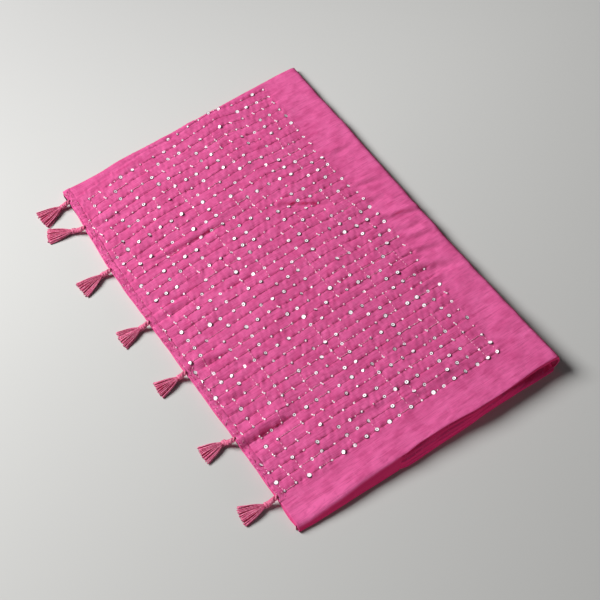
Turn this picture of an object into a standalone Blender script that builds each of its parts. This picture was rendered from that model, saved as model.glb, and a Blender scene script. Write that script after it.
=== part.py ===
"""A dupatta stole of hand-loom cloth, folded flat into a neat rectangle and lying on a table.

The cloth is folded lengthwise at +X and then across at +Y. Its hemmed end lies on top at -Y, with
seven hand-tied tassels that trail onto the table. Metres, +Z up, resting on z = 0.
"""

import math
from collections import namedtuple

import bmesh
import bpy
from mathutils import Vector

# ---------------------------------------------------------------- driving sizes, in metres
WALL = 0.0016  # the top panel's wall
GAP = 0.0003  # between pieces that touch
CREASE_ROOM = 0.0012  # how much deeper the hidden layers lie than that, under the panel's creases
GRID_X = 0.0125  # spacing of the top panel's sections, selvedge to long fold
GRID_Y = 0.0200  # spacing of its rows, hem to cross fold
SHARP_ANGLE = math.radians(50)

HEM_WIDTH = 0.0095
HEM_THICK = 0.0025
HEM_BELLY = 0.45  # share of its thickness at which the turned edge stands out furthest
HEM_CROWN = 0.0003  # the hem's middle stands this much higher than its seam
HEM_ROUND = 0.0014  # radius of its turned edge
HEM_INSET = 0.0004  # it starts this far in from the selvedge
HEM_END_X = 0.2150  # the hem stops short of the long fold, at the last tassel
HEM_RAMP = 0.0065  # over this the panel's edge runs out from the seam to the hem's own line

SELVEDGE_X = -0.2532  # at mid width
SELVEDGE_LEAN = -0.021  # the selvedge side runs out a little towards the cross fold
SELVEDGE_REACH = 0.0030
SELVEDGE_DROP = 0.0015
SELVEDGE_SWEEP = math.radians(80)

CROSS_REACH = 0.0065  # the cross fold's roll, outwards
CROSS_END_Z = 0.0008  # where its wall stops above the table
CROSS_SWEEP = math.radians(150)
ROLL_ROWS = 6  # rows of the wall round each fold

LEVELS = 10  # rings up the side of the hidden layers: a groove and a crown for each layer
GROOVE = 0.0011  # depth of the grooves between layers
ROLL_CLEAR = WALL + 6 * GAP + GROOVE / 2  # between a roll's outer line and the layers inside it
TUCK_RISE = -0.35  # under this share of half the height a roll's wall turns in over the table
BULGE_FLAT = 0.35  # share of a bulge that its lowest and highest layers keep
LAYER_SET_BACK = (0.0004, 0.0013, 0.0002, 0.0016, 0.0007)  # the selvedges, from the table up
LAYER_SWAY = 0.0004  # how far each selvedge wanders in and out
SWAY_TURNS = 37.0  # radians of that for each metre
SWAY_STEP = 2.1  # and from one layer to the next
SLIT_LOW, SLIT_HIGH = 0.55, 0.90  # past the hem's end, the shares of the height with a slit between
SLIT_LIP = 0.0022  # the layers under the slit stand out by this
SLIT_DEPTH = 0.0020
HEM_SET_BACK = 0.0014  # the layers end this far inside the hem's outer line
PLAN_STEP = 0.0210  # spacing of the stations round the hidden layers
CORNER = 0.0045  # plan radius of their corners
CORNER_OVERRUN = 0.0020  # the long fold's side runs on this far into its corner
INNER_RINGS = (0.93, 0.80, 0.64, 0.46, 0.27, 0.10)  # rings of their top, as shares of the plan

CLOTH_PINK = (0.79, 0.14, 0.38, 1.0)
SHADE_PINK = (0.55, 0.06, 0.22, 1.0)
TASSEL_PINK = (0.70, 0.16, 0.27, 1.0)

# Cross sections from the hem to the cross fold, evenly spaced along X: where the two edges lie,
# and the height of the cloth's top at the hem, a quarter, the middle, three quarters, the fold.
Section = namedtuple("Section", "x hem_y cross_y at_hem quarter middle three_quarter at_cross")
SECTIONS = (
    Section(-0.250, -0.1700, 0.1652, 0.0072, 0.0088, 0.0098, 0.0104, 0.0100),
    Section(-0.125, -0.1765, 0.1660, 0.0078, 0.0100, 0.0116, 0.0124, 0.0118),
    Section(0.000, -0.1740, 0.1652, 0.0083, 0.0113, 0.0130, 0.0138, 0.0132),
    Section(0.125, -0.1712, 0.1660, 0.0086, 0.0122, 0.0148, 0.0160, 0.0160),
    Section(0.250, -0.1695, 0.1675, 0.0090, 0.0150, 0.0202, 0.0222, 0.0242),
)
SECTION_STEP = 0.125
HEIGHT_COLUMNS = ("at_hem", "quarter", "middle", "three_quarter", "at_cross")

# The long fold, from the hem to the cross fold. turn: where the top starts to go over. reach: how
# far the roll stands out from there. end_z: where the wall stops above the table. sweep: how far
# round it goes. The last four shape the layers under it: recess, how far the upper ones are set
# back from the turn; bulge, how far the lower ones stand out; split, the share of the height
# where the one meets the other.
Fold = namedtuple("Fold", "y turn reach end_z sweep recess bulge split")
LONG_FOLD = (
    Fold(-0.1720, 0.2389, 0.0112, 0.0008, 150, 0.000, 0.0000, 0.50),
    Fold(-0.1000, 0.2410, 0.0116, 0.0008, 150, 0.000, 0.0000, 0.50),
    Fold(-0.0460, 0.2418, 0.0114, 0.0008, 150, 0.000, 0.0000, 0.50),
    Fold(-0.0370, 0.2396, 0.0056, 0.0118, 140, 0.003, 0.0079, 0.30),
    Fold(-0.0290, 0.2388, 0.0046, 0.0122, 140, 0.005, 0.0124, 0.52),
    Fold(0.0380, 0.2419, 0.0046, 0.0148, 140, 0.005, 0.0108, 0.52),
    Fold(0.0520, 0.2437, 0.0052, 0.0154, 140, 0.001, 0.0088, 0.62),
    Fold(0.0950, 0.2456, 0.0050, 0.0154, 140, 0.002, 0.0068, 0.62),
    Fold(0.1200, 0.2478, 0.0050, 0.0154, 130, 0.007, 0.0050, 0.40),
    Fold(0.1560, 0.2503, 0.0048, 0.0160, 115, 0.011, 0.0034, 0.33),
    Fold(0.1720, 0.2509, 0.0045, 0.0165, 90, 0.004, 0.0005, 0.40),
)

# The largest creases: soft troughs, or ridges where depth is below zero, that run from the hem
# towards the cross fold. lean is how far one moves along X for each metre along Y.
Crease = namedtuple("Crease", "x y length width depth lean")
CREASES = (
    Crease(-0.106, -0.085, 0.150, 0.0060, 0.0014, 0.10),
    Crease(-0.118, -0.060, 0.110, 0.0070, -0.0010, 0.05),
    Crease(-0.104, -0.020, 0.070, 0.0060, 0.0010, -0.20),
    Crease(-0.076, 0.075, 0.100, 0.0060, 0.0013, 0.18),
    Crease(-0.090, 0.070, 0.080, 0.0070, -0.0009, 0.15),
    Crease(-0.186, -0.145, 0.050, 0.0065, 0.0010, 0.05),
    Crease(-0.038, -0.145, 0.050, 0.0060, 0.0008, 0.03),
    Crease(0.038, -0.145, 0.050, 0.0060, 0.0009, 0.10),
    Crease(0.140, -0.132, 0.085, 0.0065, 0.0015, 0.10),
    Crease(0.126, -0.130, 0.080, 0.0075, -0.0012, 0.08),
    Crease(0.062, -0.110, 0.060, 0.0060, 0.0008, 0.35),
    Crease(0.034, 0.022, 0.050, 0.0060, 0.0009, 0.45),
    Crease(0.048, 0.034, 0.050, 0.0060, 0.0009, 0.42),
    Crease(0.186, -0.030, 0.060, 0.0060, 0.0008, 0.10),
    Crease(0.196, 0.045, 0.150, 0.0070, 0.0008, 0.00),
    Crease(-0.115, 0.138, 0.040, 0.0055, 0.0008, 0.00),
    Crease(-0.074, 0.154, 0.036, 0.0055, 0.0009, 0.10),
    Crease(-0.040, 0.122, 0.040, 0.0060, 0.0010, 0.10),
    Crease(-0.014, 0.142, 0.050, 0.0060, -0.0007, 0.15),
    Crease(0.005, 0.140, 0.060, 0.0060, 0.0013, 0.18),
    Crease(0.032, 0.142, 0.044, 0.0055, 0.0010, 0.14),
    Crease(0.048, 0.132, 0.036, 0.0055, 0.0008, 0.30),
    Crease(0.060, 0.136, 0.048, 0.0060, 0.0011, 0.15),
    Crease(0.075, 0.096, 0.045, 0.0065, 0.0012, -0.15),
)

# One row for each tassel, along the hem. Its cord runs from the hem's edge to the knot, and its
# skirt fans out from there to the table.
Tassel = namedtuple("Tassel", "x knot_dx knot_dy skirt_dx skirt_dy fan")
TASSELS = (
    Tassel(-0.2330, 0.0000, 0.0095, 0.0015, 0.0290, 0.0265),
    Tassel(-0.1905, -0.0055, 0.0126, -0.0112, 0.0272, 0.0210),
    Tassel(-0.1230, -0.0010, 0.0100, 0.0033, 0.0292, 0.0250),
    Tassel(-0.0390, -0.0010, 0.0095, -0.0005, 0.0262, 0.0250),
    Tassel(0.0365, -0.0010, 0.0080, -0.0008, 0.0265, 0.0215),
    Tassel(0.1310, -0.0045, 0.0108, -0.0008, 0.0255, 0.0225),
    Tassel(0.2085, -0.0008, 0.0122, -0.0044, 0.0280, 0.0225),
)
CORD_RADIUS = 0.0021
CORD_LEVEL_RUN = 0.0022  # the cord leaves the hem level for this far
CORD_SAG = 0.0004
KNOT_RADIUS = 0.0029
KNOT_Z = 0.0046
NECK = 0.0014  # from the knot to the binding's waist
COLLAR = 0.0024  # and to the binding's far collar
SKIRT_MOUTH = 0.0036  # and to the end of the bound head, where the strands come out
MOUTH_HALF_WIDTH = 1.35 * KNOT_RADIUS
HEAD_SIDES = 10

STRANDS_ABOVE = 12
STRANDS_BELOW = 11
STRAND_SIDES = 3
STRAND_STEPS = 3
STRAND_ROOT = 0.0012  # the strands start this far inside the mouth
STRAND_RISE = 0.0008  # the two rows start this far above and below the mouth's middle
STRAND_ARCH = 0.0010  # each strand bows up by this between its ends
ROOT_SPREAD = 1.9 * KNOT_RADIUS  # width of a row of strands at its start
ROOT_FILL, END_FILL = 0.30, 0.40  # a strand's half width, as a share of its spacing
END_ROUND = 0.06  # the outer strands are shorter by this share
END_UNEVEN = 0.03  # and each is longer or shorter by up to this
LOWER_REACH = 0.97  # length of the lower row, as a share of the upper's
LOWER_END_Z, UPPER_END_Z = 0.0011, 0.0029  # heights of the strands' middles at their ends


# ---------------------------------------------------------------- small helpers
def clear_scene():
    for obj in list(bpy.data.objects):
        bpy.data.objects.remove(obj, do_unlink=True)


def material(name, colour, roughness):
    made = bpy.data.materials.new(name)
    made.use_nodes = True
    shader = made.node_tree.nodes["Principled BSDF"]
    shader.inputs["Base Color"].default_value = colour
    shader.inputs["Roughness"].default_value = roughness
    shader.inputs["Metallic"].default_value = 0.0
    return made


def add_object(name, mesh_data, colour, roughness):
    mesh = bpy.data.meshes.new(name)
    mesh_data.normal_update()
    mesh_data.to_mesh(mesh)
    mesh_data.free()
    mesh.shade_smooth()
    mesh.set_sharp_from_angle(angle=SHARP_ANGLE)
    mesh.materials.append(material(name + "_finish", colour, roughness))
    obj = bpy.data.objects.new(name, mesh)
    bpy.context.scene.collection.objects.link(obj)
    return obj


def mix(a, b, share):
    return a + (b - a) * share


def spline(values, place):
    """A smooth curve through evenly spaced values; place runs from 0 to their last index."""
    last = len(values) - 1
    i = max(0, min(int(place), last - 1))
    t = place - i
    before, start = values[max(i - 1, 0)], values[i]
    end, after = values[i + 1], values[min(i + 2, last)]
    return start + 0.5 * t * (
        end - before
        + t * (2 * before - 5 * start + 4 * end - after + t * (3 * (start - end) + after - before))
    )


def along_table(table, key, value, column):
    """The column's value between the two rows of the table on either side of key = value."""
    if value <= getattr(table[0], key):
        return getattr(table[0], column)
    for low, high in zip(table, table[1:]):
        if value <= getattr(high, key):
            span = getattr(high, key) - getattr(low, key)
            share = (value - getattr(low, key)) / span
            return mix(getattr(low, column), getattr(high, column), share)
    return getattr(table[-1], column)


def section_place(x):
    return (x - SECTIONS[0].x) / SECTION_STEP


def hem_y(x):
    """The outer line of the hemmed end."""
    return spline([row.hem_y for row in SECTIONS], section_place(x))


def cross_y(x):
    """The outer line of the cross fold."""
    return spline([row.cross_y for row in SECTIONS], section_place(x))


def selvedge_x(y):
    return SELVEDGE_X + SELVEDGE_LEAN * y


def fold_turn(y):
    return along_table(LONG_FOLD, "y", y, "turn")


def flat_height(x, y):
    """The top of the cloth with no creases."""
    place = section_place(x)
    low, high = hem_y(x), cross_y(x)
    across = [spline([getattr(row, column) for row in SECTIONS], place) for column in HEIGHT_COLUMNS]
    share = max(0.0, min(1.0, (y - low) / (high - low)))
    return spline(across, share * (len(across) - 1))


def crease_at(x, y):
    """How far the creases lower the top here."""
    total = 0.0
    for crease in CREASES:
        run = (y - crease.y) / (crease.length / 2)
        if abs(run) >= 1:
            continue
        side = (x - crease.x - crease.lean * (y - crease.y)) / crease.width
        total += crease.depth * math.exp(-side * side) * (1 - run * run) ** 2
    return total


def top_height(x, y):
    return flat_height(x, y) - crease_at(x, y)


def semi_drop(height, end_z, sweep):
    """The vertical half axis that brings a roll from height down to end_z over its sweep."""
    return (height - end_z) / (1 - math.cos(sweep))


# ---------------------------------------------------------------- the top panel
def panel_columns():
    """(share of the way from selvedge to long fold, selvedge angle, long fold angle share)."""
    width = fold_turn(0) - selvedge_x(0)
    count = round(width / GRID_X)
    columns = [(0.0, SELVEDGE_SWEEP, 0.0), (0.0, SELVEDGE_SWEEP / 2, 0.0)]
    shares = {i / count for i in range(count + 1)}
    for x in (HEM_END_X, HEM_END_X + HEM_RAMP):
        shares.add((x - selvedge_x(hem_y(x))) / (fold_turn(hem_y(x)) - selvedge_x(hem_y(x))))
    columns += [(share, 0.0, 0.0) for share in sorted(shares)]
    columns += [(1.0, 0.0, (i + 1) / ROLL_ROWS) for i in range(ROLL_ROWS)]
    return columns


def panel_rows():
    """(share of the way from hem to cross fold, cross fold angle)."""
    depth = cross_y(0) - hem_y(0)
    count = round(depth / GRID_Y)
    shares = {i / count for i in range(count + 1)}
    shares |= {(row.y - hem_y(0)) / depth for row in LONG_FOLD[2:6]}
    rows = [(share, 0.0) for share in sorted(shares)]
    return rows + [(1.0, CROSS_SWEEP * (i + 1) / ROLL_ROWS) for i in range(ROLL_ROWS)]


def panel_edge_y(x):
    """Where the panel ends: at the hem's seam, or past the hem's end on the hem's own line."""
    past = max(0.0, min(1.0, (x - HEM_END_X) / HEM_RAMP))
    return hem_y(x) + (HEM_WIDTH + GAP) * (1 - past)


def panel_point(column, row):
    share, selvedge_angle, fold_share = column
    up, cross_angle = row
    y_guess = mix(hem_y(0), cross_y(0) - CROSS_REACH, up)
    low_x = selvedge_x(y_guess) + SELVEDGE_REACH
    x = mix(low_x, fold_turn(y_guess), share)
    y = mix(panel_edge_y(x), cross_y(x) - CROSS_REACH, up)
    height = top_height(x, y)
    # Round the cross fold the other two edges open out flat, so that the corner never folds in.
    opened = max(0.0, math.cos(cross_angle))
    drop = SELVEDGE_DROP * (1 - math.cos(selvedge_angle)) / (1 - math.cos(SELVEDGE_SWEEP)) * opened
    x -= SELVEDGE_REACH * math.sin(selvedge_angle) / math.sin(SELVEDGE_SWEEP)
    if fold_share:
        sweep = math.radians(along_table(LONG_FOLD, "y", y, "sweep"))
        end_z = along_table(LONG_FOLD, "y", y, "end_z")
        angle = mix(math.pi / 2, sweep, opened) * fold_share
        drop += semi_drop(height, end_z, sweep) * (1 - math.cos(angle)) * opened
        x += along_table(LONG_FOLD, "y", y, "reach") * math.sin(angle)
    drop += semi_drop(height, CROSS_END_Z, CROSS_SWEEP) * (1 - math.cos(cross_angle))
    y += CROSS_REACH * math.sin(cross_angle)
    return Vector((x, y, height - drop))


def grid_normals(grid):
    """The outward normal at each point of a grid of points."""
    normals = []
    for i, line in enumerate(grid):
        before, after = grid[max(i - 1, 0)], grid[min(i + 1, len(grid) - 1)]
        normals.append([])
        for j in range(len(line)):
            along = after[j] - before[j]
            across = line[min(j + 1, len(line) - 1)] - line[max(j - 1, 0)]
            normals[-1].append(along.cross(across).normalized())
    return normals


def wall_from_grid(grid, thickness):
    """A closed wall whose outer face is the grid and whose inner face lies thickness under it."""
    normals = grid_normals(grid)
    made = bmesh.new()
    outer = [[made.verts.new(point) for point in line] for line in grid]
    inner = [
        [made.verts.new(point - normal * thickness) for point, normal in zip(line, turned)]
        for line, turned in zip(grid, normals)
    ]
    rows, columns = len(grid), len(grid[0])
    for i in range(rows - 1):
        for j in range(columns - 1):
            made.faces.new((outer[i][j], outer[i + 1][j], outer[i + 1][j + 1], outer[i][j + 1]))
            made.faces.new((inner[i][j], inner[i][j + 1], inner[i + 1][j + 1], inner[i + 1][j]))
    rim = [(i, 0) for i in range(rows)] + [(rows - 1, j) for j in range(1, columns)]
    rim += [(i, columns - 1) for i in range(rows - 2, -1, -1)]
    rim += [(0, j) for j in range(columns - 2, 0, -1)]
    for (i, j), (k, m) in zip(rim, rim[1:] + rim[:1]):
        made.faces.new((outer[i][j], inner[i][j], inner[k][m], outer[k][m]))
    bmesh.ops.recalc_face_normals(made, faces=made.faces)
    return made


def build_top_panel():
    grid = [[panel_point(column, row) for row in panel_rows()] for column in panel_columns()]
    return add_object("stole_top_panel", wall_from_grid(grid, WALL), CLOTH_PINK, 0.8)


# ---------------------------------------------------------------- the hidden layers
def groove(level):
    """Even levels lie in the grooves between layers, odd ones on a layer's crown."""
    return GROOVE if level % 2 == 0 else 0.0


def rolled_profile(height, reach, top):
    """Inside a fold that rolls down to the table: an ellipse set back from the wall's own."""
    half = height / 2
    profile = []
    for level in range(LEVELS + 1):
        z = top * level / LEVELS
        rise = max(-1.0, min(1.0, (z - half) / half))
        out = max(0.0, reach - ROLL_CLEAR) * math.sqrt(max(0.0, 1 - rise * rise))
        if rise < TUCK_RISE:
            out = min(out, max(0.0, reach / 2 - ROLL_CLEAR))
        profile.append((out - groove(level) / 2, z))
    return profile


def lipped_profile(row, top):
    """Under a lip: the upper layers set back, the lower ones rounded and standing out."""
    profile = []
    for level in range(LEVELS + 1):
        share = level / LEVELS
        if share < row.split:
            swell = math.sqrt(max(0.0, 1 - (2 * share / row.split - 1) ** 2))
            out = row.bulge * mix(BULGE_FLAT, 1.0, swell)
        else:
            out = -row.recess
        profile.append((out - groove(level), top * share))
    return profile


def long_fold_profile(y):
    profiles = []
    for row in LONG_FOLD:
        height = flat_height(row.turn, y)
        top = height - WALL - GAP - CREASE_ROOM
        if row.recess + row.bulge == 0:
            profiles.append(rolled_profile(height, row.reach, top))
        else:
            profiles.append(lipped_profile(row, top))
    if y <= LONG_FOLD[0].y:
        return profiles[0]
    for i in range(len(LONG_FOLD) - 1):
        low, high = LONG_FOLD[i].y, LONG_FOLD[i + 1].y
        if y <= high:
            return blend_profiles(profiles[i], profiles[i + 1], (y - low) / (high - low))
    return profiles[-1]


def blend_profiles(a, b, share):
    return [(mix(p, r, share), mix(q, s, share)) for (p, q), (r, s) in zip(a, b)]


def cross_fold_profile(x):
    height = flat_height(x, cross_y(x))
    return rolled_profile(height, CROSS_REACH, height - WALL - GAP - CREASE_ROOM)


def selvedge_profile(y):
    """The cut edges of the layers, each a little in or out of line."""
    top = flat_height(selvedge_x(y), y) - SELVEDGE_DROP - WALL - 2 * GAP
    profile = []
    for level in range(LEVELS + 1):
        layer = min(level // 2, len(LAYER_SET_BACK) - 1)
        sway = LAYER_SWAY * math.sin(SWAY_TURNS * y + SWAY_STEP * layer)
        profile.append((sway - groove(level) - LAYER_SET_BACK[layer], top * level / LEVELS))
    return profile


def hem_side_profile(x):
    """Under the hem the layers end just inside it. Past it the lower ones stand out, with a slit."""
    past = max(0.0, min(1.0, (x - HEM_END_X) / HEM_RAMP))
    under_hem = flat_height(x, hem_y(x)) - HEM_THICK - 3 * GAP
    under_panel = flat_height(x, hem_y(x)) - WALL - GAP - CREASE_ROOM / 2
    top = mix(under_hem, under_panel, past)
    profile = []
    for level in range(LEVELS + 1):
        share = level / LEVELS
        out = 0.0
        if share < SLIT_LOW:
            out = SLIT_LIP * past
        elif share < SLIT_HIGH:
            out = -SLIT_DEPTH * past
        profile.append((out - groove(level), top * share))
    return profile


def layer_side(start, end, place, normal_angle, profile):
    """Stations along one side, as (x, y, normal angle, profile)."""
    count = max(2, round(abs(end - start) / PLAN_STEP))
    stations = []
    for i in range(count + 1):
        where = mix(start, end, i / count)
        x, y = place(where)
        stations.append((x, y, normal_angle, profile(where)))
    return stations


def layer_outline():
    """Stations round the plan, anticlockwise from the hem's selvedge end."""
    quarter = math.pi / 2
    low_y, high_y = hem_y(0) + HEM_SET_BACK, cross_y(0) - CROSS_REACH
    fold_rows = [row.y for row in LONG_FOLD[2:6]]
    sides = [
        layer_side(
            selvedge_x(low_y) + CORNER, fold_turn(low_y) - CORNER,
            lambda x: (x, hem_y(x) + HEM_SET_BACK), -quarter, hem_side_profile,
        ),
        layer_side(
            low_y + CORNER, high_y - CORNER + CORNER_OVERRUN,
            lambda y: (fold_turn(y), y), 0.0, long_fold_profile,
        ),
        layer_side(
            fold_turn(high_y) - CORNER, selvedge_x(high_y) + CORNER,
            lambda x: (x, cross_y(x) - CROSS_REACH), quarter, cross_fold_profile,
        ),
        layer_side(
            high_y - CORNER, low_y + CORNER,
            lambda y: (selvedge_x(y) + SELVEDGE_REACH / 2, y), 2 * quarter, selvedge_profile,
        ),
    ]
    extra = [(fold_turn(y), y, 0.0, long_fold_profile(y)) for y in fold_rows]
    sides[1] = sorted(sides[1] + extra, key=lambda station: station[1])
    outline = []
    for side, following in zip(sides, sides[1:] + sides[:1]):
        outline += side + rounded_corner(side[-1], following[0])
    return outline


def rounded_corner(last, first):
    """Two stations round the corner between the end of one side and the start of the next."""
    quarter = math.pi / 2
    stations = []
    corner = Vector((last[0], last[1])) + Vector((first[0], first[1]))
    centre = corner / 2 - CORNER / 2 * Vector(
        (math.cos(last[2]) + math.cos(first[2]), math.sin(last[2]) + math.sin(first[2]))
    )
    radius = ((Vector(last[:2]) - centre).length + (Vector(first[:2]) - centre).length) / 2
    for share in (1 / 3, 2 / 3):
        angle = last[2] + quarter * share
        point = centre + radius * Vector((math.cos(angle), math.sin(angle)))
        stations.append((point.x, point.y, angle, blend_profiles(last[3], first[3], share)))
    return stations


def ring(made, points):
    return [made.verts.new(point) for point in points]


def join_rings(made, lower, upper):
    for i in range(len(lower)):
        j = (i + 1) % len(lower)
        made.faces.new((lower[i], lower[j], upper[j], upper[i]))


def build_folded_layers():
    outline = layer_outline()
    made = bmesh.new()
    rings = []
    for level in range(LEVELS + 1):
        points = []
        for x, y, angle, profile in outline:
            out, z = profile[level]
            points.append((x + out * math.cos(angle), y + out * math.sin(angle), z))
        rings.append(ring(made, points))
    top_points = [vertex.co.copy() for vertex in rings[-1]]
    middle = Vector((sum(p.x for p in top_points), sum(p.y for p in top_points))) / len(top_points)
    for share in INNER_RINGS:
        points = []
        for point in top_points:
            x = mix(middle.x, point.x, share)
            y = mix(middle.y, point.y, share)
            points.append((x, y, flat_height(x, y) - WALL - GAP - CREASE_ROOM))
        rings.append(ring(made, points))
    for lower, upper in zip(rings, rings[1:]):
        join_rings(made, lower, upper)
    made.faces.new(list(reversed(rings[0])))
    centre = made.verts.new((middle.x, middle.y, flat_height(*middle) - WALL - GAP - CREASE_ROOM))
    last = rings[-1]
    for i in range(len(last)):
        made.faces.new((last[i], last[(i + 1) % len(last)], centre))
    bmesh.ops.recalc_face_normals(made, faces=made.faces)
    return add_object("folded_layers", made, SHADE_PINK, 0.85)


# ---------------------------------------------------------------- the hem
def hem_section(x):
    """Points of the hem's rounded section, from the seam round the outer edge and back."""
    y, top = hem_y(x), top_height(x, hem_y(x) + HEM_WIDTH)
    profile = (
        (HEM_WIDTH, 0.0),
        (HEM_WIDTH / 2, HEM_CROWN),
        (HEM_ROUND, 0.0),
        (0.0, -HEM_THICK * HEM_BELLY),
        (HEM_ROUND, -HEM_THICK),
        (HEM_WIDTH, -HEM_THICK),
    )
    return [Vector((x, y + inward, top + rise)) for inward, rise in profile]


def build_hem():
    start = selvedge_x(hem_y(SELVEDGE_X)) + HEM_INSET
    end = HEM_END_X - GAP
    count = round((end - start) / GRID_X)
    made = bmesh.new()
    rings = [ring(made, hem_section(mix(start, end, i / count))) for i in range(count + 1)]
    for lower, upper in zip(rings, rings[1:]):
        join_rings(made, lower, upper)
    made.faces.new(rings[0])
    made.faces.new(rings[-1])
    bmesh.ops.recalc_face_normals(made, faces=made.faces)
    return add_object("end_hem", made, CLOTH_PINK, 0.8)


# ---------------------------------------------------------------- the tassels
def frame_along(direction):
    """Two unit vectors square to a direction: one level, one as near up as it can be."""
    level = Vector((direction.y, -direction.x, 0.0)).normalized()
    return level, level.cross(direction).normalized()


def tube(made, stations, sides):
    """A closed tube through (centre, level half width, upright half width) stations."""
    rings = []
    for i, (centre, wide, tall) in enumerate(stations):
        before = stations[max(i - 1, 0)][0]
        after = stations[min(i + 1, len(stations) - 1)][0]
        level, upright = frame_along((after - before).normalized())
        points = []
        for k in range(sides):
            angle = 2 * math.pi * k / sides
            points.append(centre + wide * math.cos(angle) * level + tall * math.sin(angle) * upright)
        rings.append(ring(made, points))
    for lower, upper in zip(rings, rings[1:]):
        join_rings(made, lower, upper)
    made.faces.new(rings[0])
    made.faces.new(rings[-1])


def tassel_places(tassel):
    """The cord's start at the hem, the knot, and the middle of the skirt's end."""
    edge = hem_y(tassel.x)
    root_z = top_height(tassel.x, edge + HEM_WIDTH) - HEM_THICK * HEM_BELLY
    root = Vector((tassel.x, edge - GAP, root_z))
    knot = Vector((tassel.x + tassel.knot_dx, edge - tassel.knot_dy, KNOT_Z))
    end = knot + Vector((tassel.skirt_dx, -tassel.skirt_dy, 0.0))
    return root, knot, end


def tassel_head(tassel):
    """Cord, knot and the bound mouth that holds the strands' roots."""
    root, knot, end = tassel_places(tassel)
    out = Vector((0.0, -1.0, 0.0))
    heading = (end - knot).normalized()
    sag = Vector((0.0, 0.0, -CORD_SAG))
    # Each row: where, and the level and upright half widths, as shares of the cord's or the knot's.
    cord = (
        (root, 1.0, 0.8),
        (root + out * CORD_LEVEL_RUN, 1.05, 1.0),
        (mix(root, knot, 0.55) + sag, 1.1, 1.1),
    )
    bound = (
        (mix(root, knot, 0.85), 0.85, 0.80),
        (knot, 1.0, 0.95),
        (knot + heading * NECK, 0.85, 0.85),
        (knot + heading * COLLAR, 1.10, 0.90),
        (knot + heading * SKIRT_MOUTH, MOUTH_HALF_WIDTH / KNOT_RADIUS, 0.85),
    )
    stations = [(centre, wide * CORD_RADIUS, tall * CORD_RADIUS) for centre, wide, tall in cord]
    stations += [(centre, wide * KNOT_RADIUS, tall * KNOT_RADIUS) for centre, wide, tall in bound]
    made = bmesh.new()
    tube(made, stations, HEAD_SIDES)
    bmesh.ops.recalc_face_normals(made, faces=made.faces)
    return made


def strand_layer(made, tassel, count, start_rise, end_z, reach):
    """One row of strands, from inside the mouth to just above the table."""
    _, knot, end = tassel_places(tassel)
    heading = (end - knot).normalized()
    level, _ = frame_along(heading)
    length = (end - knot).length
    root_step = ROOT_SPREAD / count
    end_step = tassel.fan / count
    for i in range(count):
        side = i - (count - 1) / 2
        start = knot + heading * (SKIRT_MOUTH - STRAND_ROOT) + level * side * root_step
        start.z += start_rise
        share_out = side / (count / 2)
        uneven = END_UNEVEN * math.sin(2.3 * i + 90 * tassel.x)
        reached = length * reach * (1 - END_ROUND * share_out * share_out + uneven)
        tip = knot + heading * reached + level * side * end_step
        tip.z = end_z
        stations = []
        for step in range(STRAND_STEPS + 1):
            share = step / STRAND_STEPS
            centre = mix(start, tip, share)
            centre.z += STRAND_ARCH * math.sin(math.pi * share)
            radius = mix(ROOT_FILL * root_step, END_FILL * end_step, share)
            stations.append((centre, radius, radius))
        tube(made, stations, STRAND_SIDES)


def build_tassel(number, tassel):
    head = tassel_head(tassel)
    strands = bmesh.new()
    strand_layer(strands, tassel, STRANDS_ABOVE, STRAND_RISE, UPPER_END_Z, 1.0)
    strand_layer(strands, tassel, STRANDS_BELOW, -STRAND_RISE, LOWER_END_Z, LOWER_REACH)
    bmesh.ops.recalc_face_normals(strands, faces=strands.faces)
    tassel_object = add_object(f"tassel_{number}", head, TASSEL_PINK, 0.75)
    cutter = add_object(f"tassel_{number}_strands", strands, TASSEL_PINK, 0.75)
    union = tassel_object.modifiers.new("Strands", "BOOLEAN")
    union.operation = "UNION"
    union.solver = "EXACT"
    union.object = cutter
    cutter.hide_render = True
    cutter.display_type = "WIRE"
    return [tassel_object, cutter]


# ---------------------------------------------------------------- the whole stole
def rest_on_origin(objects):
    """Moves the meshes together, so that the whole stole's box stands centred on the origin."""
    bpy.context.view_layer.update()
    points = [vertex.co for obj in objects for vertex in obj.data.vertices]
    low = Vector([min(point[axis] for point in points) for axis in range(3)])
    high = Vector([max(point[axis] for point in points) for axis in range(3)])
    shift = Vector((-(low.x + high.x) / 2, -(low.y + high.y) / 2, -low.z))
    for obj in objects:
        for vertex in obj.data.vertices:
            vertex.co += shift


def main():
    clear_scene()
    objects = [build_top_panel(), build_folded_layers(), build_hem()]
    for number, tassel in enumerate(TASSELS, start=1):
        objects += build_tassel(number, tassel)
    rest_on_origin(objects)


main()
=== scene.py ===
"""Looks for a bright pink dupatta stole: fine cloth, sequins, threads and tassels on its solids."""

from collections import namedtuple
from math import cos, pi, radians, sin, sqrt

import bpy
import numpy as np
from mathutils import Euler, Matrix, Vector


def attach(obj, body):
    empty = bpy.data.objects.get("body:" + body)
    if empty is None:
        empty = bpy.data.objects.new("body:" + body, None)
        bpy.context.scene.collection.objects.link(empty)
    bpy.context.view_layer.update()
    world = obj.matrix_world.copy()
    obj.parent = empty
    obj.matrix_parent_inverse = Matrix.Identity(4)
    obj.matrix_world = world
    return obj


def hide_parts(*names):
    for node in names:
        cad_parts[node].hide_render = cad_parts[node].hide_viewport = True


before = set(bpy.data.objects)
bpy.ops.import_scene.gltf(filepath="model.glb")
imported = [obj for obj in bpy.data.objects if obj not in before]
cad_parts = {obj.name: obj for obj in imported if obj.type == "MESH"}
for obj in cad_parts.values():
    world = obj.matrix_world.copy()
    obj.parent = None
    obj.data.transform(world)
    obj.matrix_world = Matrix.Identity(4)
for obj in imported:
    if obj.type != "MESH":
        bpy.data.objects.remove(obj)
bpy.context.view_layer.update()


def table(names, units, *rows):
    """Rows of numbers, in so many units a metre, kept as columns that go by name."""
    return namedtuple("Table", names)(*(np.array(rows) / units).T)


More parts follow.
